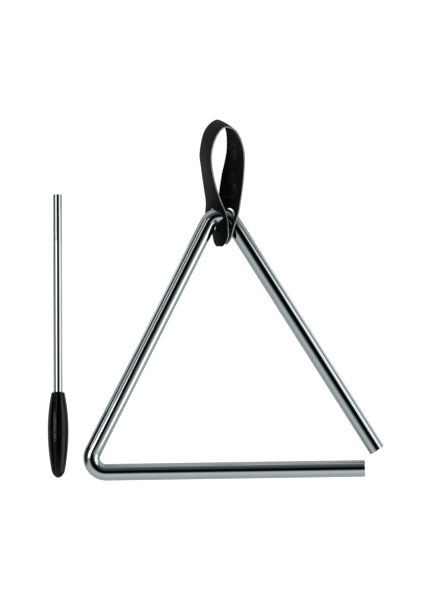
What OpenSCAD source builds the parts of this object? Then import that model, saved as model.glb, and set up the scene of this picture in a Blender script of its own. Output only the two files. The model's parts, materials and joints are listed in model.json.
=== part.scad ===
// Triangle: a bent steel rod with an open corner, lying flat on a table with its leather finger
// strap, and its beater lying beside it. Millimetres, +Z up, the base of the triangle along X,
// and the origin on the table, under the middle of the set.
// The strap passes under the apex, so the bar tips up a little about its base.

/* [Triangle bar] */
// Diameter of the steel rod
bar_d = 10; // [7:0.5:13]
// Left side, from sharp corner to sharp corner along the middle of the rod
left_side = 180; // [140:1:240]
// Right side, from the sharp apex to the cut end
right_side = 174.6; // [140:0.1:230]
// Base, from the sharp left corner to the cut end
base_side = 167.4; // [130:0.1:220]
// Angle between the left side and the base
corner_angle = 62.4; // [61:0.1:64]
// Angle at the apex
apex_angle = 59.2; // [57:0.1:60]
// Radius of both bends, to the middle of the rod
bend_r = 8.5; // [8:0.1:12]
// Chamfer on the two cut ends
end_chamfer = 0.4; // [0.1:0.1:1]
// How much thinner bending leaves the rod in its bends
bend_thinning = 0.12; // [0.1:0.01:0.3]
// How far each bend laps into the straight stretches beside it
bend_lap = 0.2; // [0.1:0.05:0.2]

/* [Strap] */
// Thickness of the leather
strap_t = 1.3; // [0.8:0.1:1.6]
// Leather left on each side of a hole, measured across the strap
hole_margin = 2.4; // [1.5:0.1:5]
// Gap all round between the bar and the edge of a hole
hole_clear = 0.8; // [0.4:0.1:1.5]
// Rise of the loop's crest above the bar, along the middle of the strap
loop_rise = 54.5; // [45:0.5:80]
// Distance between the two runs of the loop, where it is widest
loop_w = 17.7; // [15:0.1:24]
// Length of the tabs below the holes
tab_drop = 18; // [15:0.5:24]
// Length of the rounded ends of the tabs
tab_round = 8; // [3:0.5:9]
// Place of the front hole on the bend, counted from the top
front_hole_angle = -16; // [-22:1:-12]
// Place of the back hole on the bend, counted from the top
back_hole_angle = 32; // [28:1:38]
// Lean of the strap in its holes to each side
lean_limit = 20; // [5:1:20]

/* [Beater] */
// Diameter of the beater's rod
rod_d = 5.4; // [3:0.1:6.5]
// Length of rod that shows, from the grip to the tip
rod_show = 117.3; // [80:0.1:180]
// Length of the tang inside the grip
tang_l = 34; // [20:1:40]
// How much thinner the tang is turned than the rod that shows
tang_step = 0.5; // [0.4:0.1:0.8]
// Chamfer on the rod's two ends and on the tang's shoulder
rod_chamfer = 0.35; // [0.1:0.05:0.8]
// Diameter of the grip at its widest
grip_d = 12.4; // [10:0.1:18]
// Diameter of the grip at its mouth, where the rod enters
grip_mouth_d = 7.7; // [7.2:0.1:9.5]
// Diameter of the grip where its tail starts to round
grip_tail_d = 8; // [6:0.1:9.5]
// Length of the rounded tail
grip_tail_l = 4.2; // [2:0.1:8]
// Length of the grip
grip_l = 50.7; // [45:0.1:80]
// Rounding of the grip's mouth
grip_mouth_round = 0.5; // [0.1:0.1:0.5]
// Gap round the tang in the grip
tang_clear = 0.03; // [0.01:0.01:0.1]
// Distance from the left corner to the beater, along the base
beater_gap = 14.3; // [12:0.1:60]
// How far the grip's tail lies below the middle of the base
beater_drop = 2.75; // [0:0.05:20]
// Turn of the beater on the table, towards the triangle
beater_turn = 0.63; // [0:0.01:1.5]

/* [Hidden] */

// Facets of round shapes
round_fn = 48;
// Steps between two stations of the strap, and steps along the grip's outline
strap_steps = 6;
grip_steps = 28;

// Bar, in its own plane: the sharp left corner is at zero and the base runs along X
bar_r = bar_d / 2;
corner_tangent = bend_r / tan(corner_angle / 2);
apex_tangent = bend_r / tan(apex_angle / 2);
right_heading = corner_angle + apex_angle - 180;
lap_angle = asin(bend_lap / bend_r);
apex = left_side * heading(corner_angle);
apex_bend = apex + bend_r / sin(apex_angle / 2) * heading(corner_angle + 180 + apex_angle / 2);

// Strap: a share of its width leans over at the holes, the rest of it stands up
hole_lean_share = 0.55;
hole_rise_share = sqrt(1 - pow(hole_lean_share, 2));
hole_half = (bar_r + hole_clear + strap_t / 2 * hole_lean_share) / hole_rise_share;
strap_w = 2 * (hole_half + hole_margin);
hole_height = standing_height([hole_lean_share, 0]);
tab_tip_share = 0.25;

// How much narrower a hole's way is along the straight rod than round the bend
way_step = 0.4;

// Stations along the middle of the strap. Each row has a place across the loop, as a share of
// loop_w, a place down the tab or up the loop, as a share of tab_drop or loop_rise, and the
// strap's lean to the right and up, as shares of its width.
front_tab_shares = [[-0.02, 1, 0.5, 0], [-0.035, 0.58, 0.54, 0.02]];
loop_shares = [
    [-0.235, 0.17, 0.41, 0.05],
    [-0.35, 0.345, 0.33, 0.02],
    [-0.435, 0.53, 0.305, 0],
    [-0.45, 0.7, 0.345, -0.03],
    [-0.27, 0.9, 0.35, -0.2],
    [0.07, 1, 0.25, -0.26],
    [0.4, 0.925, 0.31, -0.15],
    [0.53, 0.7, 0.505, -0.04],
    [0.425, 0.42, 0.665, -0.01],
    [0.3, 0.13, 0.655, -0.04]
];
back_tab_shares = [[0.12, 0.5, 0.52, -0.04], [0.095, 0.93, 0.48, -0.04]];
stations = concat(
    [for (s = front_tab_shares) tab_station(s)],
    [hole_station(front_hole_angle)],
    [for (s = loop_shares) loop_station(s)],
    [hole_station(back_hole_angle)],
    [for (s = back_tab_shares) tab_station(s)]
);
last_station = len(stations) - 1;
ring_count = last_station * strap_steps + 1;
rings = [for (i = [0:ring_count - 1]) strap_ring(i / strap_steps)];

// The bar tips about its base until its bend runs through the middle of both holes
hole_reach = apex_bend.y + bend_r * (cos(front_hole_angle) + cos(back_hole_angle)) / 2;
bar_tip = asin((hole_height - bar_r) / hole_reach);
strap_place = [apex_bend.x, apex_bend.y * cos(bar_tip), 0];

// Beater, along its own axis from the grip's tail
rod_r = rod_d / 2;
tang_d = rod_d - tang_step;
grip_r = grip_d / 2;
grip_wide_share = 0.56;
grip_wide = grip_l * grip_wide_share;
grip_bore = grip_l - tang_l;
rod_tip = grip_l + rod_show;
beater_dip = asin((grip_r - rod_r) / (rod_tip - rod_chamfer - grip_wide));
grip_places = [for (i = [0:grip_steps]) grip_l * (1 - cos(180 * i / grip_steps)) / 2];
grip_outline = [for (s = grip_places) [grip_radius(s), s]];
tip_edge = [rod_r, rod_tip - rod_chamfer];
beater_height = max([
    for (p = concat(grip_outline, [tip_edge])) p[0] * cos(beater_dip) + p[1] * sin(beater_dip)
]);

// Reach of the whole set, which puts the origin under its middle
right_end = apex + right_side * heading(right_heading);
right_flank = bar_r * abs(sin(right_heading));
end_flank = (bar_r - end_chamfer) * abs(sin(right_heading));
reach_right = max(right_end.x - end_chamfer * cos(right_heading) + right_flank, right_end.x + end_flank);
reach_left = min([for (p = grip_outline) -beater_gap + p[1] * sin(beater_turn) - p[0]]);
reach_top = strap_place.y + max([for (r = rings) for (p = r) p.y]);
reach_bottom = min(-bar_r, -beater_drop);
middle = [(reach_left + reach_right) / 2, (reach_bottom + reach_top) / 2, 0];

// A unit step on the plan in a heading, in degrees from X
function heading(a) = [cos(a), sin(a)];

// Height of the strap's middle where it leans by l and its low edge rests on the table
function standing_height(l) = (strap_w * sqrt(1 - l * l) + strap_t * norm(l)) / 2;

function tab_station(s) = [loop_w * s[0], bend_r - tab_drop * s[1], s[2], s[3]];
function loop_station(s) = [loop_w * s[0], bend_r + loop_rise * s[1], s[2], s[3]];
function hole_station(a) = [bend_r * sin(a), bend_r * cos(a), hole_lean_share, 0];

// Smooth curve through the stations, and past each end along its last step
function station_at(i) =
    i < 0 ? 2 * stations[0] - stations[1]
    : i > last_station ? 2 * stations[last_station] - stations[last_station - 1]
    : stations[i];
function blend_four(a, b, c, d, f) =
    b + (c - a) * f / 2 + (2 * a - 5 * b + 4 * c - d) * pow(f, 2) / 2
    + (3 * b - a - 3 * c + d) * pow(f, 3) / 2;
function strap_station(u) =
    let (i = min(max(floor(u), 0), last_station - 1))
    blend_four(station_at(i - 1), station_at(i), station_at(i + 1), station_at(i + 2), u - i);
function strap_middle(u) =
    let (s = strap_station(u)) [s[0], s[1], standing_height([s[2], s[3]])];
function strap_across(u) =
    let (s = strap_station(u), l = [s[2], s[3]]) [s[2], s[3], sqrt(1 - l * l)];

// Half the strap's width: full along the loop, rounded at the tabs down to a blunt tip
function strap_half(u) =
    let (
        tip = strap_middle(u < last_station / 2 ? 0 : last_station),
        back = 1 - min(norm(strap_middle(u) - tip) / tab_round, 1)
    )
    strap_w / 2 * sqrt(1 - (1 - pow(tab_tip_share, 2)) * pow(back, 2));

// The four corners of the strap at u: low inside, low outside, high outside, high inside
function strap_ring(u) =
    let (
        ahead = strap_middle(u + 0.5 / strap_steps) - strap_middle(u - 0.5 / strap_steps),
        across = strap_across(u),
        out = cross(across, ahead),
        side = across * strap_half(u),
        skin = out / norm(out) * strap_t / 2,
        mid = strap_middle(u)
    )
    [mid - side + skin, mid - side - skin, mid + side - skin, mid + side + skin];

// Radius of the grip at s: it swells from the mouth, narrows to the tail and closes in a dome
function grip_radius(s) =
    let (
        from_wide = s > grip_wide ? (s - grip_wide) / (grip_l - grip_wide)
            : (grip_wide - s) / (grip_wide - grip_tail_l),
        end_r = s > grip_wide ? grip_mouth_d / 2 : grip_tail_d / 2,
        swell = grip_r - (grip_r - end_r) * pow(from_wide, 2),
        dome = s < grip_tail_l ? sqrt(1 - pow(1 - s / grip_tail_l, 2)) : 1,
        lip = max(s - grip_l + grip_mouth_round, 0),
        mouth_cut = grip_mouth_round - sqrt(pow(grip_mouth_round, 2) - pow(lip, 2))
    )
    swell * dome - mouth_cut;

// Puts the set's middle over the origin
module set_place() {
    translate(-middle) children();
}

// Lifts a shape drawn in the bar's plane onto the table, tipped about the base
module bar_place() {
    set_place()
        translate([0, 0, bar_r])
            rotate([bar_tip, 0, 0])
                children();
}

// A rod of diameter d along X, with a chamfer on its far end
module cut_rod(l, d, chamfer) {
    rotate([0, 90, 0]) {
        cylinder(h = l - chamfer, d = d, $fn = round_fn);
        translate([0, 0, l - chamfer])
            cylinder(h = chamfer, d1 = d, d2 = d - 2 * chamfer, $fn = round_fn);
    }
}

// A bend of diameter d round the origin, turning through an angle from X, with its laps
module bend(turn, d) {
    rotate(-lap_angle)
        rotate_extrude(angle = turn + 2 * lap_angle, $fn = round_fn)
            translate([bend_r, 0])
                circle(d = d - bend_thinning, $fn = round_fn);
}

// The bend at the apex, in the bar's plane
module apex_turn(d) {
    translate(apex_bend)
        rotate(90 + right_heading)
            bend(180 - apex_angle, d);
}

// What the strap's holes leave free: the bend and the first stretch of the right side, with
// their gap, as they pass while the strap leans
module hole_way() {
    way_d = bar_d + 2 * hole_clear;
    translate(apex_bend) {
        rotate(90 + right_heading - lean_limit)
            rotate_extrude(angle = 180 - apex_angle + 2 * lean_limit, $fn = round_fn)
                translate([bend_r, 0])
                    circle(d = way_d, $fn = round_fn);
        for (a = [-lean_limit, 0, lean_limit])
            rotate(a + right_heading)
                translate([0, bend_r, 0])
                    cut_rod(bend_r, way_d - way_step, end_chamfer);
    }
}

// The bent rod: base, left corner, left side, apex and right side
module triangle_bar() {
    color("silver")
        bar_place() {
            translate([corner_tangent, 0, 0])
                cut_rod(base_side - corner_tangent, bar_d, end_chamfer);
            translate([corner_tangent, bend_r, 0])
                rotate(90 + corner_angle)
                    bend(180 - corner_angle, bar_d);
            rotate(corner_angle)
                translate([corner_tangent, 0, 0])
                    rotate([0, 90, 0])
                        cylinder(h = left_side - corner_tangent - apex_tangent, d = bar_d, $fn = round_fn);
            apex_turn(bar_d);
            translate(apex)
                rotate(right_heading)
                    translate([apex_tangent, 0, 0])
                        cut_rod(right_side - apex_tangent, bar_d, end_chamfer);
        }
}

// The leather strip on its low edge, with the two holes that the bar passes through
module strap() {
    corners = 4;
    joins = [for (i = [0:ring_count - 2]) for (k = [0:corners - 1])
        let (a = i * corners + k, b = i * corners + (k + 1) % corners)
        each [[a, b, b + corners], [a, b + corners, a + corners]]];
    end = (ring_count - 1) * corners;
    caps = [[0, 3, 2], [0, 2, 1], [end, end + 1, end + 2], [end, end + 2, end + 3]];
    color("#1c1d1e")
        difference() {
            set_place()
                translate(strap_place)
                    polyhedron(points = [for (r = rings) each r], faces = concat(joins, caps));
            bar_place()
                hole_way();
        }
}

// Lays a shape drawn along Z on the table, tail towards the base and tip dipped down
module beater_place() {
    set_place()
        translate([-beater_gap, -beater_drop, beater_height])
            rotate([0, 0, -beater_turn])
                rotate([-90 - beater_dip, 0, 0])
                    children();
}

// The rod and its thinner tang, chamfered at both ends, with a shoulder at the grip's mouth
module beater_rod() {
    color("silver")
        beater_place() {
            translate([0, 0, grip_bore])
                cylinder(h = rod_chamfer, d1 = tang_d - 2 * rod_chamfer, d2 = tang_d, $fn = round_fn);
            translate([0, 0, grip_bore + rod_chamfer])
                cylinder(h = tang_l - rod_chamfer, d = tang_d, $fn = round_fn);
            translate([0, 0, grip_l])
                cylinder(h = rod_chamfer, d1 = tang_d, d2 = rod_d, $fn = round_fn);
            translate([0, 0, grip_l + rod_chamfer])
                cylinder(h = rod_show - 2 * rod_chamfer, d = rod_d, $fn = round_fn);
            translate([0, 0, rod_tip - rod_chamfer])
                cylinder(h = rod_chamfer, d1 = rod_d, d2 = rod_d - 2 * rod_chamfer, $fn = round_fn);
        }
}

// The moulded grip, with a blind bore for the tang
module beater_grip() {
    bore_r = tang_d / 2 + tang_clear;
    color("#141414")
        beater_place()
            rotate_extrude($fn = round_fn)
                polygon(concat(
                    grip_outline,
                    [[bore_r, grip_l], [bore_r, grip_bore], [0, grip_bore]]
                ));
}

triangle_bar();
strap();
beater_rod();
beater_grip();
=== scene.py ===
"""A triangle, the bent chrome bar with one open corner, lies on a white table with its leather finger strap
and its beater beside it, and is seen from straight above. Run it as a script: it builds the table, the lights
and the camera, then each piece round the CAD frame."""

import json
import math

import bpy
import numpy as np
from bpy.props import FloatProperty, FloatVectorProperty, PointerProperty
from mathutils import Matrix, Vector


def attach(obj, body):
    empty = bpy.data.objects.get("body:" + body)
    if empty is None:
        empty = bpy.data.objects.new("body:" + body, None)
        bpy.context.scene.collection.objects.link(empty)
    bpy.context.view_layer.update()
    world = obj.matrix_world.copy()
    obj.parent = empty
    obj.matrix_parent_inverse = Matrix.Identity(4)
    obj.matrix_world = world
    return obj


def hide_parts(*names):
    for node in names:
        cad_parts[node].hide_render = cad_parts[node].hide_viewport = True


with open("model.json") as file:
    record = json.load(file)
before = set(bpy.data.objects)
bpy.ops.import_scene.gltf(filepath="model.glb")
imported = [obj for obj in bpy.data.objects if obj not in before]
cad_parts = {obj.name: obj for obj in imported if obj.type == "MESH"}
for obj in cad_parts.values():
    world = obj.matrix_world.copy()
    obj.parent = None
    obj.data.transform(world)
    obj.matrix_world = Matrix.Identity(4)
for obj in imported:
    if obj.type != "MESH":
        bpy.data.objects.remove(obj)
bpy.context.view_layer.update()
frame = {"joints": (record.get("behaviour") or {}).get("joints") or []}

bl_info = {
    "name": "Triangle with Strap and Beater",
    "version": (1, 0, 0),
    "blender": (4, 5, 0),
    "location": "3D View > Sidebar > Triangle",
    "description": "Builds a bent chrome triangle, its leather finger strap and its beater on a white table",
    "category": "Add Mesh",
}

MM = 0.001
LEAN = next(j for j in frame["joints"] if j["name"] == "strap_lean")

# The apex bend's own middle and the bar's plane, from the joint that the strap leans about
APEX_BEND = np.array(LEAN["pos_m"])
BAR_UP = np.array(LEAN["axis"]) / np.linalg.norm(LEAN["axis"])
BAR_RIGHT = np.array([1.0, 0.0, 0.0])
BAR_AWAY = np.cross(BAR_UP, BAR_RIGHT)

LEAN_LIMIT = math.radians(20)  # how far the strap leans to either side
HOLE_LEAN = 0.55  # the solid strap's lean at its holes, as a share of its width
TAB_TIP = 0.25  # the blunt tip of a tab, as a share of the strap's width
BOW_RUN = 1.1  # how far the bow at the front hole reaches along the strap, in stations
STATION = 10 * MM  # what a station counts for on the flat strip, near their mean of 10.2 mm
GRIP_WIDEST = 0.56  # place of the grip's widest ring, as a share of its length from the tail
CUT_RIM = 1.6  # how far in a cut face's outer ring lies, in chamfers, so that the face stays flat

# Stations along the middle of the strap, from the front tab's tip round the loop to the back tab's: a place
# across the loop, as a share of its width, a place down the tab or up the loop, as a share of either's
# length, and the strap's lean to the right and up, as shares of its width
FRONT_TAB = [[-0.02, 1, 0.5, 0], [0, 0.58, 0.47, 0.02]]
LOOP = [
    [-0.235, 0.17, 0.41, 0.05],
    [-0.35, 0.345, 0.33, 0.02],
    [-0.435, 0.53, 0.305, 0],
    [-0.45, 0.7, 0.345, -0.03],
    [-0.27, 0.9, 0.35, -0.2],
    [0.07, 1, 0.25, -0.26],
    [0.4, 0.925, 0.31, -0.15],
    [0.53, 0.7, 0.505, -0.04],
    [0.425, 0.42, 0.665, -0.01],
    [0.3, 0.13, 0.655, -0.04],
]
BACK_TAB = [[0.12, 0.5, 0.52, -0.04], [0.095, 0.93, 0.48, -0.04]]


# Numbers and colours


def linear(code):
    """An sRGB hex code as linear red, green, blue: c / 12.92 below 0.04045, ((c + 0.055) / 1.055) ^ 2.4 above."""
    c = np.array([int(code[i : i + 2], 16) for i in (1, 3, 5)]) / 255
    return tuple(float(v) for v in np.where(c <= 0.04045, c / 12.92, ((c + 0.055) / 1.055) ** 2.4))


def number(name, value, words, **limits):
    """A number that a user would change, with its limits and its unit if it has any."""
    return FloatProperty(name=name, description=words, default=value, **limits)


def size(name, mm, words):
    """A length that a user would change, given in millimetres and kept in metres."""
    return number(name, mm * MM, words, min=0, unit="LENGTH", precision=5)


def turn(name, degrees, words):
    """An angle that a user would change, given in degrees."""
    return number(name, math.radians(degrees), words, subtype="ANGLE")


def colour(name, code, words):
    """A colour that a user would change, given as an sRGB hex code."""
    return FloatVectorProperty(
        name=name, description=words, default=linear(code), min=0, max=1, size=3, subtype="COLOR"
    )


class TriangleBarSettings(bpy.types.PropertyGroup):
    """Sizes and colours of the bent bar"""

    bar_d: size("Bar thickness", 10, "Diameter of the steel rod")
    left_side: size("Left side", 180, "From sharp corner to sharp corner along the middle of the rod")
    right_side: size("Right side", 174.6, "From the sharp apex to the cut end")
    base_side: size("Base", 167.4, "From the sharp left corner to the cut end")
    corner_angle: turn("Corner angle", 62.4, "Angle between the left side and the base")
    apex_angle: turn("Apex angle", 59.2, "Angle at the apex")
    bend_r: size("Bend radius", 8.5, "Radius of both bends, to the middle of the rod")
    end_chamfer: size("End chamfer", 0.4, "Chamfer on the two cut ends")
    bend_thinning: size("Bend thinning", 0.12, "How much thinner bending leaves the rod in its bends")
    chrome: colour("Chrome", "#bfc4c4", "Colour of the plating where it faces the eye")


class StrapSettings(bpy.types.PropertyGroup):
    """Sizes and colours of the leather finger strap"""

    strap_t: size("Leather", 1.3, "Thickness of the leather")
    hole_margin: size("Hole margin", 2.4, "Leather left on each side of a hole")
    hole_clear: size("Hole gap in the solid", 0.8, "Gap round the bar that the strap's width allows for")
    sheet_t: size("Leather at rest", 1.1, "Thickness of the leather where its edges are pared")
    edge_round: size("Edge rounding", 0.22, "Rounding of the pared edges")
    hole_gap: size("Hole gap", 0.1, "Gap between the bar and a hole's edge, across the strap")
    hole_slack: size("Hole slack", 1.7, "Further gap on the side where a hole hangs loose")
    front_lean: number("Front lean", 0.62, "Lean at the front hole, as a share of the width", min=0.4, max=0.8)
    cup: size("Cup", 0.45, "How far the strip's middle stands out of its smooth side along its whole length")
    hole_bow: size("Bow at the front hole", 1.6, "How far the bar's pull bows the strip outwards at the front hole")
    loop_rise: size("Loop rise", 54.5, "Rise of the loop's crest above the bar")
    loop_w: size("Loop width", 17.7, "Distance between the two runs of the loop")
    tab_drop: size("Tab length", 18, "Length of the tabs below the holes")
    tab_round: size("Tab rounding", 8, "Length of the rounded ends of the tabs")
    front_hole: turn("Front hole", -16, "Place of the front hole on the bend, counted from the top")
    back_hole: turn("Back hole", 32, "Place of the back hole on the bend, counted from the top")
    smooth: colour("Smooth side", "#0c0e0e", "Dyed and rolled grain side")
    # Worn grain, and painted sheen too: this lighter colour is mixed in down the middle of the smooth side
    sheen_and_wear: colour("Worn grain", "#2b2e2e", "Grain side where handling has rubbed it")
    suede: colour("Rough side", "#040505", "Flesh side")
    nap: colour("Nap", "#3c403f", "Raised fibres on the flesh side")
    # Raw fibres, made this light partly as a painted highlight for the thin light line along the strap's edges
    cut: colour("Cut edge", "#c9cbca", "Raw fibres on the cut edges")


class BeaterSettings(bpy.types.PropertyGroup):
    """Sizes and colours of the beater"""

    rod_d: size("Rod", 5.4, "Diameter of the rod")
    rod_show: size("Rod length", 117.3, "Length of rod from the grip to the tip")
    tang_l: size("Tang", 34, "Length of rod inside the grip")
    tang_step: size("Tang step", 0.5, "How much thinner the tang is turned than the rod that shows")
    rod_chamfer: size("Rod chamfer", 0.35, "Chamfer on the rod's two ends and on the tang's shoulder")
    grip_d: size("Grip", 12.4, "Diameter of the grip at its widest")
    grip_mouth_d: size("Grip mouth", 7.7, "Diameter of the grip where the rod enters")
    grip_tail_d: size("Grip tail", 8, "Diameter of the grip where its tail starts to round")
    grip_tail_l: size("Tail length", 4.2, "Length of the rounded tail")
    grip_l: size("Grip length", 50.7, "Length of the grip")
    grip_mouth_round: size("Mouth rounding", 0.5, "Rounding of the grip's mouth")
    tang_clear: size("Tang gap", 0.03, "Gap round the tang")
    parting: size("Parting line", 27, "Place of the line between the grip's two moulded halves, from its tail")
    beater_gap: size("Beater gap", 14.3, "From the triangle's left corner to the beater")
    beater_drop: size("Beater drop", 2.75, "How far the grip's tail lies below the base")
    beater_turn: turn("Beater turn", 0.63, "Turn of the beater on the table, towards the triangle")
    chrome: colour("Chrome", "#c6c9c9", "Colour of the plating where it faces the eye")
    plastic: colour("Grip", "#060707", "Colour of the moulded grip")


class StageSettings(bpy.types.PropertyGroup):
    """The table, the lights and the camera"""

    table: colour("Table", "#b9bab9", "Colour of the table")
    table_glow: number("Table glow", 0.33, "Light from below that the table casts", min=0)
    table_beside: number("Glow beside the legs", 0.95, "Light from below in the field beside each leg", min=0)
    table_white: number("Table white", 1, "Light from below as the camera sees it", min=0)
    lens: number("Lens", 200, "Focal length in millimetres", min=20)
    frame_height: size("Frame height", 355.476, "Height of the picture, measured on the middle of the bar")
    look_x: number("Look at X", -0.0011, "Middle of the picture", unit="LENGTH")
    look_y: number("Look at Y", -0.00057, "Middle of the picture", unit="LENGTH")
    roll: turn("Roll", -0.862, "Turn of the camera about its own line of sight")
    right_light: number("Right softboxes", 1.28, "Brightness; 1 is a lit white card", min=0)
    strip_light: number("Left strips", 1.4, "Brightness; 1 is a lit white card", min=0)
    left_light: number("Left softbox", 2.1, "Brightness; 1 is a lit white card", min=0)


# Shapes


def heading(angle):
    """Unit steps on the bar's plane at an angle from the base: (cos a, sin a), for one angle or an array."""
    return np.stack([np.cos(angle), np.sin(angle)], -1)


def new_piece(name, points, faces, uv, materials, material_of=None, sharp=35):
    """Puts whole arrays into a mesh: points (n, 3), faces a list of (m, 3) and (m, 4) arrays of point numbers,
    uv the same list with (m, k, 2) places. Edges sharper than the angle, in degrees, stay crisp."""
    corners = np.concatenate([f.ravel() for f in faces])
    counts = np.concatenate([np.full(len(f), f.shape[1]) for f in faces])
    mesh = bpy.data.meshes.new(name)
    mesh.vertices.add(len(points))
    mesh.vertices.foreach_set("co", np.asarray(points, np.float32).ravel())
    mesh.loops.add(len(corners))
    mesh.loops.foreach_set("vertex_index", corners.astype(np.int32))
    mesh.polygons.add(len(counts))
    mesh.polygons.foreach_set("loop_start", np.concatenate([[0], np.cumsum(counts)[:-1]]).astype(np.int32))
    mesh.update(calc_edges=True)
    mesh.uv_layers.new(name="surface").data.foreach_set(
        "uv", np.concatenate([u.reshape(-1, 2) for u in uv]).astype(np.float32).ravel()
    )
    for m in materials:
        mesh.materials.append(m)
    if material_of is not None:
        mesh.polygons.foreach_set("material_index", np.asarray(material_of, np.int32))
    mesh.shade_smooth()
    mesh.set_sharp_from_angle(angle=math.radians(sharp))
    if mesh.validate(verbose=False):
        raise RuntimeError(f"{name}: the mesh had broken faces")
    piece = bpy.data.objects.new(name, mesh)
    bpy.context.scene.collection.objects.link(piece)
    return piece


def grid_faces(numbers, closed=False):
    """Quads between neighbouring rows of an array of point numbers, starting at the lower row and column and going
    up the columns first. closed joins each row's last point to its first."""
    if closed:
        numbers = np.concatenate([numbers, numbers[:, :1]], 1)
    low, high = numbers[:-1], numbers[1:]
    return np.stack([low[:, :-1], low[:, 1:], high[:, 1:], high[:, :-1]], -1).reshape(-1, 4)


def round_bar(centres, sideways, upward, radii, around):
    """A closed skin round a path. Point (i, j) is centre_i + radius_i (cos a_j sideways_i + sin a_j upward_i)
    with a_j = 2 pi j / around, and each end closes on a pole at its ring's centre. The surface place is the
    length along the path and the length round it, in metres."""
    n = len(centres)
    a = np.arange(around) * 2 * np.pi / around
    rings = centres[:, None] + radii[:, None, None] * (
        np.cos(a)[None, :, None] * sideways[:, None] + np.sin(a)[None, :, None] * upward[:, None]
    )
    points = np.concatenate([rings.reshape(-1, 3), centres[:1], centres[-1:]])
    numbers = np.arange(n * around).reshape(n, around)
    ring = np.arange(around)
    nxt = (ring + 1) % around
    start = np.stack([np.full(around, n * around), nxt, ring], -1)
    end = np.stack([np.full(around, n * around + 1), numbers[-1], numbers[-1, nxt]], -1)
    step = np.linalg.norm(np.diff(centres, axis=0), axis=1) + np.abs(np.diff(radii))
    along = np.concatenate([[0], np.cumsum(step)])
    girth = np.arange(around + 1) * 2 * np.pi * radii.max() / around
    skin = np.stack(np.meshgrid(along, girth, indexing="ij"), -1).reshape(-1, 2)
    uv_sides = skin[grid_faces(np.arange(len(skin)).reshape(n, around + 1))]
    flat = lambda r, m: np.stack([r * np.cos(a[m]), r * np.sin(a[m])], -1)
    pole = np.zeros((around, 2))
    uv_start = np.stack([pole, flat(radii[0], nxt), flat(radii[0], ring)], 1)
    uv_end = np.stack([pole, flat(radii[-1], ring), flat(radii[-1], nxt)], 1)
    return points, [grid_faces(numbers, closed=True), start, end], [uv_sides, uv_start, uv_end]


def bar_path(s):
    """The bar's middle line on its own plane, with the sharp left corner at zero and the base along X: the base
    from its cut end, the corner bend, the left side, the apex bend and the right side to its cut end. A straight
    stretch is start + t (end - start), a bend is centre + bend_r (cos a, sin a). Returns places, outward steps,
    the rod's radius, which eases by half the thinning in the bends, and the middle of the apex bend."""
    corner_run = s.bend_r / math.tan(s.corner_angle / 2)
    apex_run = s.bend_r / math.tan(s.apex_angle / 2)
    right = s.corner_angle + s.apex_angle - math.pi
    up_left, down_right = heading(s.corner_angle), heading(right)
    apex = s.left_side * up_left
    bend = apex + s.bend_r / math.sin(s.apex_angle / 2) * heading(s.corner_angle + math.pi + s.apex_angle / 2)
    out_base, out_left, out_right = -math.pi / 2, s.corner_angle + math.pi / 2, right + math.pi / 2
    places, outs, thin = [], [], []

    def straight(a, b, out, stops):
        places.append(a + stops[:, None] * (b - a))
        outs.append(np.broadcast_to(heading(out), (len(stops), 2)))
        thin.append(np.zeros(len(stops)))

    def curve(centre, a, b, steps):
        w = np.linspace(a, b, steps + 2)[1:-1]
        places.append(centre + s.bend_r * heading(w))
        outs.append(heading(w))
        share = np.linspace(0, 1, steps + 2)[1:-1]
        thin.append(np.sin(np.pi * share) ** 0.5 * s.bend_thinning / 2)

    base_end = np.array([s.base_side, 0.0])
    right_end = apex + s.right_side * down_right
    face = np.array([0, 0, s.end_chamfer / s.base_side, 2 * s.end_chamfer / s.base_side])
    rest = np.linspace(0.02, 1, 24)
    straight(base_end, np.array([corner_run, 0]), out_base, np.concatenate([face, rest]))
    curve(np.array([corner_run, s.bend_r]), out_base + 2 * math.pi, out_left, 46)
    straight(corner_run * up_left, apex - apex_run * up_left, out_left, np.linspace(0, 1, 26))
    curve(bend, out_left, out_right, 46)
    straight(apex + apex_run * down_right, right_end, out_right, np.concatenate([1 - rest[::-1], 1 - face[::-1]]))
    places, outs, thin = np.concatenate(places), np.concatenate(outs), np.concatenate(thin)
    radii = s.bar_d / 2 - thin
    radii[[0, -1]] = s.bar_d / 2 - s.end_chamfer * CUT_RIM
    radii[[1, -2]] = s.bar_d / 2 - s.end_chamfer
    return places, outs, radii, bend


def on_bar_plane(p):
    """From places on the bar's plane, counted from the apex bend's middle, to the row frame: the bend's middle + x
    right + y away from the base."""
    return APEX_BEND + p[:, :1] * BAR_RIGHT + p[:, 1:] * BAR_AWAY


def grip_outline(s, steps):
    """The grip's outline from its tail: places along it, and the radius at each. It falls from the widest
    ring with the square of the distance to either end, is rounded by a quarter ellipse at the tail and a
    quarter circle at the mouth, and has a shallow V where the two halves meet."""
    at = s.grip_l * (1 - np.cos(np.pi * np.arange(steps + 1) / steps)) / 2
    groove_depth, groove_half = 0.09 * MM, 0.2 * MM
    near_groove = np.array([-0.5, -0.22, -0.1, 0, 0.1, 0.22, 0.5]) * MM
    at = np.sort(np.concatenate([at, s.parting + near_groove]))
    wide = GRIP_WIDEST * s.grip_l
    up = at > wide
    away = np.where(up, (at - wide) / (s.grip_l - wide), (wide - at) / (wide - s.grip_tail_l))
    end_r = np.where(up, s.grip_mouth_d, s.grip_tail_d) / 2
    swell = s.grip_d / 2 - (s.grip_d / 2 - end_r) * away**2
    dome = np.sqrt(np.clip(1 - (1 - np.minimum(at / s.grip_tail_l, 1)) ** 2, 0, 1))
    lip = np.maximum(at - s.grip_l + s.grip_mouth_round, 0)
    cut = s.grip_mouth_round - np.sqrt(np.maximum(s.grip_mouth_round**2 - lip**2, 0))
    groove = groove_depth * np.maximum(1 - np.abs(at - s.parting) / groove_half, 0)
    return at, swell * dome - cut - groove


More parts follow.
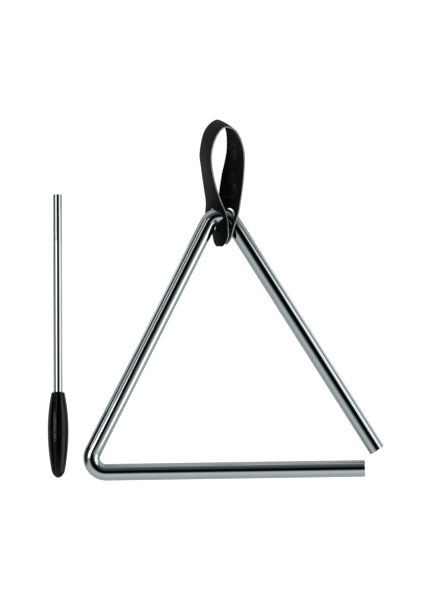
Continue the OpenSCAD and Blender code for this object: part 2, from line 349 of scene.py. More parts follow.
def beater_axis(s):
    """Where the grip's tail lies and which way the beater points. It rests on the grip's widest ring and on the
    rod's tip, so it dips by asin((grip_r - rod_r) / their distance) and its tail stands as high as the outline
    needs: the largest r cos dip + s sin dip."""
    bend = bar_path(bpy.context.scene.triangle_bar)[-1]
    corner = APEX_BEND[:2] - bend * np.array([1, BAR_UP[2]])
    tip_at = s.grip_l + s.rod_show - s.rod_chamfer
    dip = math.asin((s.grip_d - s.rod_d) / 2 / (tip_at - GRIP_WIDEST * s.grip_l))
    at, r = grip_outline(s, 28)
    height = max((r * math.cos(dip) + at * math.sin(dip)).max(), s.rod_d / 2 * math.cos(dip) + tip_at * math.sin(dip))
    tail = np.array([corner[0] - s.beater_gap, corner[1] - s.beater_drop, height])
    t = s.beater_turn
    forward = np.array([math.sin(t) * math.cos(dip), math.cos(t) * math.cos(dip), -math.sin(dip)])
    return tail, forward


def turned(s, at, radii, around=96):
    """A turned shape on the beater's own axis: point = tail + s forward + r (cos a sideways + sin a upward)."""
    tail, forward = beater_axis(s)
    sideways = np.cross([0.0, 0.0, 1.0], forward)
    sideways /= np.linalg.norm(sideways)
    upward = np.cross(forward, sideways)
    n = len(at)
    return round_bar(tail + at[:, None] * forward, np.tile(sideways, (n, 1)), np.tile(upward, (n, 1)), radii, around)


class StrapShape:
    """The strap as a function of the station u along it, and of the places v across it and w through it, both from
    -1 to 1. Point = sheet(u, v) + w t / 2 outward(u, v), where the sheet is middle(u) + v half(u) across(u), bowed
    a little. middle and across run smoothly through the stations."""

    def __init__(self, s):
        self.s = s
        bar = bpy.context.scene.triangle_bar
        self.bar_r = bar.bar_d / 2
        rise = math.sqrt(1 - HOLE_LEAN**2)
        self.width = 2 * ((self.bar_r + s.hole_clear + s.strap_t / 2 * HOLE_LEAN) / rise + s.hole_margin)
        run = lambda rows, reach: [[s.loop_w * a, bar.bend_r + reach * b, c, d] for a, b, c, d in rows]
        hole = lambda a, over: [[bar.bend_r * math.sin(a), bar.bend_r * math.cos(a), over, 0]]
        front = run(FRONT_TAB, -s.tab_drop) + hole(s.front_hole, s.front_lean)
        back = hole(s.back_hole, HOLE_LEAN) + run(BACK_TAB, -s.tab_drop)
        self.rows = np.array(front + run(LOOP, s.loop_rise) + back)
        self.last = len(self.rows) - 1
        self.front_at, self.back_at = len(FRONT_TAB), len(FRONT_TAB) + 1 + len(LOOP)

    def station(self, u):
        """A smooth run through the stations and straight on past each end: between b and c a cubic in f, the share
        of the way, whose slope at either is half the step between its two neighbours."""
        r = self.rows
        ext = np.vstack([2 * r[0] - r[1], r, 2 * r[-1] - r[-2]])
        i = np.clip(np.floor(u).astype(int), 0, self.last - 1)
        f = (u - i)[..., None]
        a, b, c, d = ext[i], ext[i + 1], ext[i + 2], ext[i + 3]
        return b + (c - a) * f / 2 + (2 * a - 5 * b + 4 * c - d) * f**2 / 2 + (3 * b - a - 3 * c + d) * f**3 / 2

    def middle(self, u):
        """The strip's middle, as high as its width and lean stand it on its low edge."""
        p = self.station(u)
        lean = np.linalg.norm(p[..., 2:], axis=-1)
        high = (self.width * np.sqrt(1 - lean**2) + self.s.strap_t * lean) / 2
        return np.concatenate([p[..., :2], high[..., None]], -1)

    def half(self, u):
        """Half the width: full along the loop, an elliptical end with a blunt tip on each tab."""
        tip = self.middle(np.where(u < self.last / 2, 0.0, float(self.last)))
        back = 1 - np.minimum(np.linalg.norm(self.middle(u) - tip, axis=-1) / self.s.tab_round, 1)
        return self.width / 2 * np.sqrt(1 - (1 - TAB_TIP**2) * back**2)

    def sheet(self, u, v):
        """The strip's middle surface: middle + v half across, pushed outward by (cup + hole_bow bell) (1 - v^2). The
        bell is exp(-(d / BOW_RUN)^2), with d the stations from the front hole."""
        u = np.asarray(u, float)
        near = 1 / 12
        p = self.station(u)
        across = np.concatenate([p[..., 2:], np.sqrt(1 - (p[..., 2:] ** 2).sum(-1, keepdims=True))], -1)
        out = np.cross(across, self.middle(u + near) - self.middle(u - near))
        out /= np.linalg.norm(out, axis=-1, keepdims=True)
        bell = np.exp(-(((u - self.front_at) / BOW_RUN) ** 2))
        bow = (self.s.cup + self.s.hole_bow * bell) * (1 - v**2)
        place = self.middle(u) + (self.half(u) * v)[..., None] * across + bow[..., None] * out
        return place + np.array([APEX_BEND[0], APEX_BEND[1], 0])

    def outward(self, u, v):
        """Unit step square to the sheet, out of its smooth side, from small steps along u and v."""
        small = 0.01
        along = self.sheet(u + small, v) - self.sheet(u - small, v)
        over = self.sheet(u, v + small) - self.sheet(u, v - small)
        out = np.cross(over, along)
        return out / np.linalg.norm(out, axis=-1, keepdims=True)

    def at(self, u, v, w):
        """The sheet, moved through its thickness by w t / 2."""
        return self.sheet(u, v) + self.outward(u, v) * (self.s.sheet_t / 2 * w)

    def bar_lines(self):
        """Middle lines of what passes through the holes while the strap leans: the bend and the right side's
        start, in the strap's own frame, at every lean from limit to limit."""
        bar = bpy.context.scene.triangle_bar
        right = bar.corner_angle + bar.apex_angle - math.pi
        first, last = bar.corner_angle + math.pi / 2 + LEAN_LIMIT, right + math.pi / 2 - LEAN_LIMIT
        arc = bar.bend_r * heading(np.linspace(first, last, 240))
        run = np.linspace(0, bar.bend_r, 24)[None, :, None]
        turns = np.linspace(-LEAN_LIMIT, LEAN_LIMIT, 9)
        legs = bar.bend_r * heading(right + math.pi / 2 + turns)[:, None] + run * heading(right + turns)[:, None]
        return on_bar_plane(np.concatenate([arc, legs.reshape(-1, 2)]))

    def hole_field(self, u, v):
        """Distance from the leather at (u, v), through its thickness, to the bar's middle line."""
        line = self.bar_lines()
        best = np.full(np.shape(u), np.inf)
        for w in (-1, 0, 1):
            p = self.at(u, v, w)
            best = np.minimum(best, np.linalg.norm(p[..., None, :] - line, axis=-1).min(-1))
        return best


def strap_sheet(shape):
    """The strip's middle surface as plain blocks and two blocks with a hole, all on shared (u, v) places. In a hole's
    block, ring k runs from the hole's edge to the block's border: c + (e + (1 - e) (k / rings)^1.3) (p - c), with p
    on the border, c the hole's centre and e the share of the way at which the leather clears the bar, found by
    halving. The gap to clear is hole_gap + hole_slack t^2, with t the unit step towards p taken along the vector on
    which the hole hangs loose, where that is above 0. Returns the places, the faces and the three edges as closed
    runs: round the strip and round each hole."""
    n_across, n_along, rings, loop_rows, farthest = 24, 40, 10, 210, 0.93
    cross = np.linspace(-1, 1, n_across + 1)
    front, back = shape.front_at, shape.back_at
    # For each hole: the first and last station of its block, its own, and how loose it is along and across
    holes = [(front - 1.4, front + 1.05, front, (-0.1, 0.45)), (back - 1.25, back + 1.35, back, (-0.5, 0.6))]
    points, quads, rims = [], [], []

    def numbers_for(rows, columns):
        return sum(len(p) for p in points) + np.arange(rows * columns).reshape(rows, columns)

    def plain(u):
        quads.append(grid_faces(numbers_for(len(u), len(cross))))
        points.append(np.stack(np.meshgrid(u, cross, indexing="ij"), -1).reshape(-1, 2))

    def holed(u0, u1, centre, loose):
        along = np.linspace(u0, u1, n_along + 1)
        border_u = [np.full(n_across, u0), along[:-1], np.full(n_across, u1), along[:0:-1]]
        border_v = [cross[:-1], np.ones(n_along), cross[:0:-1], -np.ones(n_along)]
        border = np.stack([np.concatenate(border_u), np.concatenate(border_v)], -1)
        c = np.array([centre, 0.0])
        way = (border - c) * np.array([STATION, shape.width / 2])
        toward = np.clip(way @ np.array(loose) / np.linalg.norm(way, axis=-1), 0, 1)
        gap = shape.bar_r + shape.s.hole_gap + shape.s.hole_slack * toward**2
        low, high = np.zeros(len(border)), np.ones(len(border))
        for _ in range(24):
            mid = (low + high) / 2
            q = c + mid[:, None] * (border - c)
            inside = shape.hole_field(*q.T) < gap
            low, high = np.where(inside, mid, low), np.where(inside, high, mid)
        if high.max() > farthest:
            raise RuntimeError(f"the hole at {centre} comes too near {border[high.argmax()]}")
        share = high + (1 - high) * (np.arange(rings + 1) / rings)[:, None] ** 1.3
        q = c + share[..., None] * (border - c)
        # These rings run the other way round, so their faces are turned over
        numbers = numbers_for(rings + 1, len(border))
        quads.append(grid_faces(numbers, closed=True)[:, [0, 3, 2, 1]])
        points.append(q.reshape(-1, 2))
        rims.append(numbers[0])

    tab = np.linspace(0, 1, 25) ** 1.25
    plain(holes[0][0] * tab)
    holed(*holes[0])
    plain(np.linspace(holes[0][1], holes[1][0], loop_rows))
    holed(*holes[1])
    plain(shape.last - (shape.last - holes[1][1]) * tab[::-1])
    places, faces = np.concatenate(points), np.concatenate(quads)
    same = 1e-6
    key = np.round(places / same).astype(np.int64)
    _, first, back_to = np.unique(key, axis=0, return_index=True, return_inverse=True)
    places, back_to = places[first], back_to.ravel()

    def run_at(axis, value):
        on = np.flatnonzero(np.abs(places[:, axis] - value) < same)
        return on[np.argsort(places[on, 1 - axis])]

    tips, sides = [run_at(0, u) for u in (0, shape.last)], [run_at(1, v) for v in (-1, 1)]
    outline = np.concatenate([tips[0][:-1], sides[1][:-1], tips[1][:0:-1], sides[0][:0:-1]])
    return places, back_to[faces], [outline] + [back_to[r][::-1] for r in rims]


def leather_shell(shape, places, faces, edges):
    """A closed sheet of leather. Its two sides are the middle surface moved by t / 2 each way, and start b short of
    each edge. There the point b (sin a - 1) outward in the sheet and t / 2 - b + b cos a through it, a from 0 to
    90 degrees, rounds the pared corner, and the other side's mirrors it, with the raw core flat between them.
    Returns points, faces, places and a material for each face: 0 smooth side, 1 rough side, 2 raw core."""
    s = shape.s
    half, b = s.sheet_t / 2, s.edge_round
    u, v = places[:, 0], places[:, 1]
    mid, out = shape.sheet(u, v), shape.outward(u, v)
    aside = np.zeros_like(mid)
    for edge in edges:
        ahead = mid[np.roll(edge, -1)] - mid[np.roll(edge, 1)]
        step = np.cross(ahead, out[edge])
        aside[edge] = step / np.linalg.norm(step, axis=-1, keepdims=True)
    n = len(mid)
    flat = np.stack([u * STATION, v * shape.width / 2], -1)
    points = [mid - b * aside + half * out, mid - b * aside - half * out]
    spots = [flat, flat]
    quads = [faces, faces[:, ::-1] + n]
    kinds = [np.zeros(len(faces), int), np.ones(len(faces), int)]
    a = np.radians([22.5, 45, 67.5, 90])
    outer = np.stack([b * (np.sin(a) - 1), half - b + b * np.cos(a)], -1)
    profile = np.concatenate([outer, outer[::-1] * [1, -1]])
    skin = np.array([0, 0, 0, 0, 2, 1, 1, 1, 1])
    base = 2 * n
    for edge in edges:
        m = len(edge)
        ring = mid[edge] + profile[:, :1, None] * aside[edge] + profile[:, 1:, None] * out[edge]
        points.append(ring.reshape(-1, 3))
        spots.append((flat[edge] + profile[:, 1:, None] * [0, 1]).reshape(-1, 2))
        rows = np.concatenate([edge[None], base + np.arange(len(profile) * m).reshape(-1, m), edge[None] + n])
        quads.append(grid_faces(rows, closed=True)[:, [1, 0, 3, 2]])
        kinds.append(np.repeat(skin, m))
        base += len(profile) * m
    return np.concatenate(points), np.concatenate(quads), np.concatenate(spots), np.concatenate(kinds)


# Materials. Object coordinates and the UV map are in metres, so a pattern's scale is a thousand over its
# millimetres. A Map Range takes its value, the two ends it comes from and the two it goes to, 0 and 1 when left
# out, and with 0 and another node's output to go to it fades that in.


def add_node(tree, kind, inputs=(), **settings):
    """Adds one shader node. Settings are its own properties. Inputs come by name or in order, and each is a value,
    another node's output, or a node, which stands for the first output that it has in use."""
    node = tree.nodes.new("ShaderNode" + kind)
    for key, value in settings.items():
        setattr(node, key, value)
    for key, value in inputs.items() if isinstance(inputs, dict) else enumerate(inputs):
        if isinstance(value, bpy.types.Node):
            value = next(output for output in value.outputs if not output.is_unavailable)
        if isinstance(value, bpy.types.NodeSocket):
            tree.links.new(value, node.inputs[key])
        else:
            node.inputs[key].default_value = value
    return node


def new_material(name):
    """A new material, its empty tree, and the place on the object, in metres."""
    material = bpy.data.materials.new(name)
    material.use_nodes = True
    material.node_tree.nodes.clear()
    return material, material.node_tree, add_node(material.node_tree, "TexCoord").outputs["Object"]


def chrome_plate(name, tint):
    """Polished decorative chrome over a drawn steel rod: a mirror with a faint blue-green cast. Drawing leaves slow
    swells along the rod, 22 mm long, and handling soft smudges 17 mm across and hairline wipes 4.5 mm long and
    0.1 mm apart."""
    material, tree, where = new_material(name)
    place = add_node(tree, "UVMap", uv_map="surface")
    wipes = add_node(tree, "Mapping", {"Vector": place, "Scale": (220, 9000, 1)})
    hair = add_node(tree, "TexNoise", {"Vector": wipes, "Scale": 1, "Detail": 3})
    smudge = add_node(tree, "TexNoise", {"Vector": where, "Scale": 60, "Detail": 4, "Roughness": 0.6})
    dull = add_node(tree, "MapRange", [smudge, 0.45, 0.75, 0.02, 0.055])
    swell = add_node(tree, "TexNoise", {"Vector": where, "Scale": 45, "Detail": 1})
    low = add_node(tree, "Bump", {"Height": swell, "Strength": 0.28, "Distance": 0.0004})
    fine = add_node(tree, "Bump", {"Height": hair, "Strength": 0.03, "Distance": 0.00002, "Normal": low})
    look = {"Base Color": (*tint, 1), "Metallic": 1, "Roughness": dull, "Normal": fine}
    add_node(tree, "OutputMaterial", [add_node(tree, "BsdfPrincipled", look)])
    return material


def smooth_leather(tint, sheen_and_wear):
    """Black aniline-dyed cowhide, grain side, rolled smooth, with pores 0.9 mm apart and creases 4 mm apart. Its
    colour is near black along both edges, and lighter down its middle in streaks 9 mm long and 1 mm wide: rubbing, and
    a painted sheen that is brightest on the front run of the loop, 46 mm from the front tab's tip."""
    # Where the painted sheen down the strap's middle is brightest, 46 mm along from the front tab's tip
    sheen_at = 0.046
    material, tree, where = new_material("dyed_smooth_leather")
    pores = add_node(tree, "TexVoronoi", {"Vector": where, "Scale": 1100}, feature="DISTANCE_TO_EDGE")
    creases = add_node(tree, "TexNoise", {"Vector": where, "Scale": 260, "Detail": 5, "Roughness": 0.6})
    place = add_node(tree, "UVMap", uv_map="surface")
    long = add_node(tree, "Mapping", {"Vector": place, "Scale": (110, 900, 1)})
    streak = add_node(tree, "TexNoise", {"Vector": long, "Scale": 1, "Detail": 4, "Roughness": 0.6})
    # The streaks are rubbing; narrowed below to a band down the middle, they also carry a painted sheen
    rubbed = add_node(tree, "MapRange", [streak, 0.3, 0.72])
    ahead, sideways, _ = add_node(tree, "SeparateXYZ", [place]).outputs
    from_sheen = add_node(tree, "Math", [ahead, sheen_at], operation="SUBTRACT")
    # How far off the middle, and off the place where the painted sheen is brightest, the painted sheen and rubbing is
    # full, where it has faded, and to what share
    for away, full, gone, share in ((sideways, 0.003, 0.0085, 0.08), (from_sheen, 0.004, 0.02, 0.12)):
        off = add_node(tree, "Math", [away], operation="ABSOLUTE")
        fade = add_node(tree, "MapRange", [off, full, gone, 1, share], interpolation_type="SMOOTHSTEP")
        rubbed = add_node(tree, "Math", [rubbed, fade], operation="MULTIPLY")
    # Painted sheen and rubbing: the lighter colour mixed in down the middle of the smooth side
    shade = add_node(tree, "Mix", {"Factor": rubbed, "A": (*tint, 1), "B": (*sheen_and_wear, 1)}, data_type="RGBA")
    gloss = add_node(tree, "MapRange", [creases, 0, 1, 0.34, 0.56])
    grain = add_node(tree, "Bump", {"Height": pores, "Strength": 0.25, "Distance": 0.00006})
    fold = add_node(tree, "Bump", {"Height": creases, "Strength": 0.5, "Distance": 0.0002, "Normal": grain})
    look = {"Base Color": shade, "Roughness": gloss, "Specular IOR Level": 0.045, "Normal": fold}
    add_node(tree, "OutputMaterial", [add_node(tree, "BsdfPrincipled", look)])
    return material


def suede_side(tint, nap):
    """The same hide's flesh side: deep black with a short nap that catches the light in grey flecks 1 to 3 mm
    across. The nap's own fibres are finer than the render can show, so the flecks stand for tufts of them."""
    material, tree, where = new_material("leather_flesh_side")
    fleck = add_node(tree, "TexNoise", {"Vector": where, "Scale": 620, "Detail": 4, "Roughness": 0.62})
    drift = add_node(tree, "TexNoise", {"Vector": where, "Scale": 120, "Detail": 1})
    both = add_node(tree, "Math", [fleck, drift], operation="MULTIPLY")
    raised = add_node(tree, "MapRange", [both, 0.3, 0.42, 0, 0.9])
    shade = add_node(tree, "Mix", {"Factor": raised, "A": (*tint, 1), "B": (*nap, 1)}, data_type="RGBA")
    rough = add_node(tree, "Bump", {"Height": fleck, "Strength": 0.6, "Distance": 0.0003})
    look = {"Base Color": shade, "Roughness": 0.95, "Specular IOR Level": 0.2, "Normal": rough}
    look |= {"Sheen Weight": 0.05, "Sheen Roughness": 0.5}
    add_node(tree, "OutputMaterial", [add_node(tree, "BsdfPrincipled", look)])
    return material


def cut_leather(tint):
    """The hide's cut edge: pressed grey fibres, lightly burnished, streaked along the cut every half millimetre. Its
    light grey is partly the raw fibres and partly a painted highlight, the thin light line along the strap's edges.
    """
    between = tuple(0.35 * part for part in tint)
    material, tree, where = new_material("leather_cut_edge")
    fibre = add_node(tree, "TexNoise", {"Vector": where, "Scale": 1800, "Detail": 3})
    # The light grey core is partly raw fibres and partly a painted highlight along the edges
    shade = add_node(tree, "Mix", {"Factor": fibre, "A": (*between, 1), "B": (*tint, 1)}, data_type="RGBA")
    rough = add_node(tree, "Bump", {"Height": fibre, "Strength": 0.4, "Distance": 0.0001})
    look = {"Base Color": shade, "Roughness": 0.5, "Normal": rough}
    add_node(tree, "OutputMaterial", [add_node(tree, "BsdfPrincipled", look)])
    return material


def moulded_plastic(tint):
    """Glossy black injection-moulded ABS: a deep black gloss with the faint orange-peel swell of a moulding, 2.4 mm
    from swell to swell, and a little handling haze in patches 11 mm across."""
    material, tree, where = new_material("moulded_black_abs")
    peel = add_node(tree, "TexNoise", {"Vector": where, "Scale": 420, "Detail": 2})
    haze = add_node(tree, "TexNoise", {"Vector": where, "Scale": 90, "Detail": 5, "Roughness": 0.65})
    dull = add_node(tree, "MapRange", [haze, 0.35, 0.7, 0.03, 0.09])
    swell = add_node(tree, "Bump", {"Height": peel, "Strength": 0.12, "Distance": 0.0002})
    look = {"Base Color": (*tint, 1), "Roughness": dull, "Specular IOR Level": 0.24, "Normal": swell}
    add_node(tree, "OutputMaterial", [add_node(tree, "BsdfPrincipled", look)])
    return material


def opal_table(s, bar):
    """A matte opal acrylic light table, lit from below for the eye so that shadows fade to white, with a trace of
    unevenness in its white, 170 mm from cloud to cloud. As the chrome mirrors it, it is brighter in a field beside
    each of the two legs, below the strap."""
    uneven = tuple(0.985 * part for part in s.table)
    material, tree, where = new_material("matte_opal_acrylic")
    cloud = add_node(tree, "TexNoise", {"Vector": where, "Scale": 6, "Detail": 3})
    shade = add_node(tree, "Mix", {"Factor": cloud, "A": (*s.table, 1), "B": (*uneven, 1)}, data_type="RGBA")
    across, away, _ = add_node(tree, "SeparateXYZ", [where]).outputs
    right_out, left_out = bar.corner_angle + bar.apex_angle - math.pi / 2, bar.corner_angle + math.pi / 2
    ease = {"interpolation_type": "SMOOTHSTEP"}
    fields = []
    # For each leg: which way is out of it, and what its field's far side fades along, in millimetres
    for angle, along, none, full in ((right_out, None, 45, 20), (left_out, across, -72, -55)):
        way = np.append(heading(angle), 0)
        reach = add_node(tree, "VectorMath", [where, tuple(way)], operation="DOT_PRODUCT").outputs["Value"]
        out = add_node(tree, "Math", [reach, float(APEX_BEND @ way) + bar.bend_r], operation="SUBTRACT")
        far = add_node(tree, "MapRange", [along or out, none * MM, full * MM], **ease)
        fields.append(add_node(tree, "MapRange", [out, 4 * MM, 10 * MM, 0, far], **ease))
    either = add_node(tree, "Math", fields, operation="MAXIMUM")
    below_strap = add_node(tree, "MapRange", [away, 46 * MM, 26 * MM, 0, either], **ease)
    mirrored = add_node(tree, "MapRange", [below_strap, 0, 1, s.table_glow, s.table_beside])
    eye = add_node(tree, "LightPath").outputs["Is Camera Ray"]
    lit = add_node(tree, "Mix", {"Factor": eye, "A": mirrored, "B": s.table_white})
    look = {"Base Color": shade, "Roughness": 0.8, "Specular IOR Level": 0.1}
    look |= {"Emission Color": (0.98, 1, 1, 1), "Emission Strength": lit}
    add_node(tree, "OutputMaterial", [add_node(tree, "BsdfPrincipled", look)])
    return material


# Operators, one for each piece and one for the stage


class BuildTriangleBar(bpy.types.Operator):
    """Build the bent chrome bar round its CAD solid"""

    bl_idname = "triangle.build_bar"
    bl_label = "Triangle Bar"

    def execute(self, context):
        s = context.scene.triangle_bar
        places, outs, radii, bend = bar_path(s)
        centres = on_bar_plane(places - bend)
        sideways = outs[:, :1] * BAR_RIGHT + outs[:, 1:] * BAR_AWAY
        upward = np.tile(BAR_UP, (len(outs), 1))
        points, faces, uv = round_bar(centres, sideways, upward, radii, 128)
        piece = new_piece("bar_chromed", points, faces, uv, [chrome_plate("chrome_plate_bar", s.chrome)])
        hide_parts("triangle_bar")
        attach(piece, "triangle")
        return {"FINISHED"}


class BuildStrap(bpy.types.Operator):
    """Build the leather finger strap, with its two holes round the bar"""

    bl_idname = "triangle.build_strap"
    bl_label = "Leather Strap"

    def execute(self, context):
        s = context.scene.triangle_strap
        shape = StrapShape(s)
        points, quads, spots, kinds = leather_shell(shape, *strap_sheet(shape))
        materials = [smooth_leather(s.smooth, s.sheen_and_wear), suede_side(s.suede, s.nap), cut_leather(s.cut)]
        piece = new_piece("strap_leather", points, [quads], [spots[quads]], materials, kinds, sharp=60)
        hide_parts("strap")
        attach(piece, "strap")
        return {"FINISHED"}


class BuildBeaterRod(bpy.types.Operator):
    """Build the beater's chrome rod"""

    bl_idname = "triangle.build_beater_rod"
    bl_label = "Beater Rod"

    def execute(self, context):
        s = context.scene.triangle_beater
        c, r, tang = s.rod_chamfer, s.rod_d / 2, (s.rod_d - s.tang_step) / 2
        end_gap = 0.05 * MM
        bore, mouth, tip = s.grip_l - s.tang_l + end_gap, s.grip_l, s.grip_l + s.rod_show
        stem = np.linspace(mouth + 2 * c, tip - 2 * c, 60)
        at = np.concatenate([[bore, bore, bore + c, mouth, mouth + c], stem, [tip - c, tip, tip]])
        tang_end, tip_end = [tang - CUT_RIM * c, tang - c, tang, tang, r], [r, r - c, r - CUT_RIM * c]
        radii = np.concatenate([tang_end, np.full(len(stem), r), tip_end])
        points, faces, uv = turned(s, at, radii)
        piece = new_piece("beater_rod_chromed", points, faces, uv, [chrome_plate("chrome_plate_rod", s.chrome)])
        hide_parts("beater_rod")
        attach(piece, "beater")
        return {"FINISHED"}


class BuildBeaterGrip(bpy.types.Operator):
    """Build the beater's moulded grip"""

    bl_idname = "triangle.build_beater_grip"
    bl_label = "Beater Grip"

    def execute(self, context):
        s = context.scene.triangle_beater
        at, radii = grip_outline(s, 90)
        bore, wall, lip = s.grip_l - s.tang_l, (s.rod_d - s.tang_step) / 2 + s.tang_clear, 0.1 * MM
        at = np.concatenate([at, [s.grip_l, s.grip_l - lip, bore]])
        radii = np.concatenate([radii, [wall + lip, wall, wall]])
        points, faces, uv = turned(s, at, radii)
        piece = new_piece("beater_grip_moulded", points, faces, uv, [moulded_plastic(s.plastic)])
        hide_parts("beater_grip")
        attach(piece, "beater")
        return {"FINISHED"}


def soft_box(name, toward, distance, slide, across, tall, glow):
    """Adds a flat studio light at a distance from the set, facing it, then slid along Y. toward is its azimuth from
    +X and its angle from straight up, in degrees. Its power is glow pi across tall, so glow is its brightness."""
    az, zen = math.radians(toward[0]), math.radians(toward[1])
    way = Vector((math.sin(zen) * math.cos(az), math.sin(zen) * math.sin(az), math.cos(zen)))
    lamp = bpy.data.lights.new(name, "AREA")
    lamp.shape = "RECTANGLE"
    lamp.size, lamp.size_y = across, tall
    lamp.energy = glow * math.pi * across * tall
    light = bpy.data.objects.new(name, lamp)
    light.location = way * distance + Vector((0, slide, 0))
    light.rotation_mode = "QUATERNION"
    light.rotation_quaternion = (-way).to_track_quat("-Z", "Y")
    light.visible_camera = False
    bpy.context.scene.collection.objects.link(light)


def studio_room():
    """The room round the table, as the chrome mirrors it: pale walls in front, dark ones behind that only lighten
    towards the table, a dark doorway low on the left, a tall dark gap in front on the right and a low one behind
    on the right, and the dark camera with its stand overhead. The camera itself sees a pale backdrop."""
    world = bpy.data.worlds.new("studio")
    bpy.context.scene.world = world
    world.use_nodes = True
    tree = world.node_tree
    tree.nodes.clear()
    way = add_node(tree, "TexCoord").outputs["Generated"]
    side, depth, height = add_node(tree, "SeparateXYZ", [way]).outputs
    front_wall = add_node(tree, "MapRange", [height, 0, 1, 0.58, 0.86])
    horizon = add_node(tree, "MapRange", [height, 0, 0.32, 0.75, 0])
    upper_part = add_node(tree, "MapRange", [height, 0.05, 0.95, 0.34, 0.015])
    back_wall = add_node(tree, "Math", [horizon, upper_part], operation="ADD")
    in_front = add_node(tree, "MapRange", [depth, 0.65, -0.4])
    walls = add_node(tree, "Mix", {"Factor": in_front, "A": back_wall, "B": front_wall})
    dark = add_node(tree, "MapRange", [side, -0.68, -0.88, 0, 0.97])
    for value, start, full in ((height, 0.72, 0.5), (depth, -0.42, -0.2)):
        dark = add_node(tree, "MapRange", [value, start, full, 0, dark])
    bearing = add_node(tree, "Math", [depth, side], operation="ARCTAN2")
    # For each gap: its bearing, how far off it the dark fades and ends, how dark it is, and from which height to
    # which it sets in
    gaps = [(-1.05, 0.12, 0.18, 0.88, 0.85, 0.7), (0.55, 0.12, 0.24, 0.9, 0.24, 0.12)]
    for toward, inner, outer, deep, start, full in gaps:
        off = add_node(tree, "Math", [bearing, toward], operation="SUBTRACT")
        off = add_node(tree, "Math", [off], operation="ABSOLUTE")
        wide = add_node(tree, "MapRange", [off, inner, outer, deep, 0])
        gap = add_node(tree, "MapRange", [height, start, full, 0, wide])
        dark = add_node(tree, "Math", [dark, gap], operation="MAXIMUM")
    # Overhead, the camera with its stand is a rounded square: (|x|^8 + |y|^8)^(1/8), with x and y counted from a
    # middle at 0.1, 0.1 in half sizes of 0.56 and 0.43
    powers = []
    for value, scale, shift in ((side, 1.786, -0.179), (depth, 2.326, -0.233)):
        off = add_node(tree, "Math", [value, scale, shift], operation="MULTIPLY_ADD")
        off = add_node(tree, "Math", [off], operation="ABSOLUTE")
        powers.append(add_node(tree, "Math", [off, 8], operation="POWER"))
    total = add_node(tree, "Math", powers, operation="ADD")
    square = add_node(tree, "Math", [total, 0.125], operation="POWER")
    inside = add_node(tree, "MapRange", [square, 0.5, 1.5, 1, 0], interpolation_type="SMOOTHSTEP")
    overhead = add_node(tree, "MapRange", [height, 0.3, 0.5, 0, inside])
    level = walls
    for hidden in (dark, overhead):
        level = add_node(tree, "MapRange", [hidden, 0, 1, level, 0])
    cast = {"Factor": level, "A": (0, 0.004, 0.004, 1), "B": (0.95, 1.03, 1.03, 1)}
    tinted = add_node(tree, "Mix", cast, data_type="RGBA")
    eye = add_node(tree, "LightPath").outputs["Is Camera Ray"]
    shown = add_node(tree, "Mix", {"Factor": eye, "A": tinted, "B": (0.9, 0.91, 0.91, 1)}, data_type="RGBA")
    back = add_node(tree, "Background", {"Color": shown})
    add_node(tree, "OutputWorld", {"Surface": back})


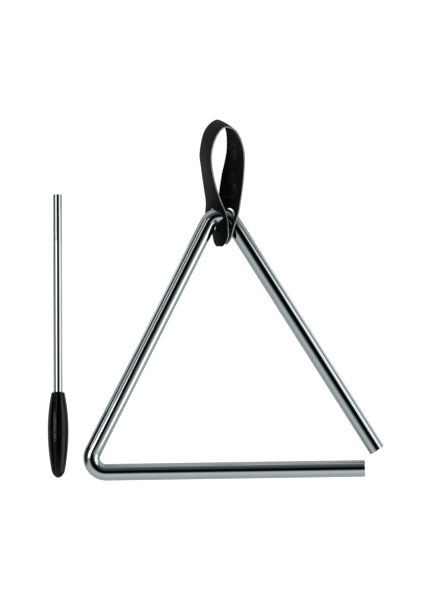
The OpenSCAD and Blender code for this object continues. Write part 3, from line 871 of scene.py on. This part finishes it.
class BuildStage(bpy.types.Operator):
    """Build the table, the lights and the camera"""

    bl_idname = "triangle.build_stage"
    bl_label = "Table, Lights and Camera"

    def execute(self, context):
        s, bar = context.scene.triangle_stage, context.scene.triangle_bar
        half_side = 6.0
        corner = np.array([[-1, -1, 0], [1, -1, 0], [1, 1, 0], [-1, 1, 0]]) * half_side
        table = new_piece("table_top", corner, [np.array([[0, 1, 2, 3]])], [corner[None, :, :2]], [opal_table(s, bar)])
        soft_box("softbox_right", (0, 64.5), 0.8, -0.25, 0.7, 0.6, s.right_light)
        soft_box("softbox_wing", (0, 57), 0.8, 0.245, 0.29, 0.48, s.right_light)
        soft_box("softbox_left", (180, 36), 1.6, -0.03, 0.34, 0.84, s.left_light)
        soft_box("softbox_end", (180, 42), 1.6, 0.2, 0.12, 0.45, s.left_light)
        soft_box("strip_low", (152, 62), 1.6, 0, 0.6, 0.2, s.strip_light)
        soft_box("strip_high", (152, 27), 1.6, 0, 0.6, 0.2, s.strip_light)
        studio_room()
        lens = bpy.data.cameras.new("camera_above")
        lens.lens = s.lens
        lens.sensor_width = 36
        lens.clip_end = 50
        camera = bpy.data.objects.new("camera_above", lens)
        # the long side of the picture is the sensor's width, and covers frame_height at the bar's middle
        camera.location = (s.look_x, s.look_y, bar.bar_d / 2 + s.frame_height * s.lens / lens.sensor_width)
        camera.rotation_euler = (0, 0, s.roll)
        context.scene.collection.objects.link(camera)
        context.scene.camera = camera
        context.scene.view_settings.view_transform = "Standard"
        return {"FINISHED"}


class TrianglePanel(bpy.types.Panel):
    """Lists the pieces of the triangle and what can be changed"""

    bl_idname = "VIEW3D_PT_triangle"
    bl_label = "Triangle"
    bl_space_type = "VIEW_3D"
    bl_region_type = "UI"
    bl_category = "Triangle"

    def draw(self, context):
        for operator, group in STEPS:
            box = self.layout.box()
            box.operator(operator.bl_idname)
            settings = getattr(context.scene, group)
            for key in settings.__annotations__:
                box.prop(settings, key)


GROUPS = {
    "triangle_bar": TriangleBarSettings,
    "triangle_strap": StrapSettings,
    "triangle_beater": BeaterSettings,
    "triangle_stage": StageSettings,
}
STEPS = [
    (BuildTriangleBar, "triangle_bar"),
    (BuildStrap, "triangle_strap"),
    (BuildBeaterRod, "triangle_beater"),
    (BuildBeaterGrip, "triangle_beater"),
    (BuildStage, "triangle_stage"),
]


def register():
    """Registers the settings, the operators and the panel."""
    for name, group in GROUPS.items():
        bpy.utils.register_class(group)
        setattr(bpy.types.Scene, name, PointerProperty(type=group))
    for operator, _ in STEPS:
        bpy.utils.register_class(operator)
    bpy.utils.register_class(TrianglePanel)


def unregister():
    """Takes them all away again."""
    bpy.utils.unregister_class(TrianglePanel)
    for operator, _ in reversed(STEPS):
        bpy.utils.unregister_class(operator)
    for name, group in reversed(GROUPS.items()):
        delattr(bpy.types.Scene, name)
        bpy.utils.unregister_class(group)


def main():
    register()
    bpy.ops.triangle.build_stage()
    bpy.ops.triangle.build_bar()
    bpy.ops.triangle.build_strap()
    bpy.ops.triangle.build_beater_rod()
    bpy.ops.triangle.build_beater_grip()


if __name__ == "__main__":
    main()
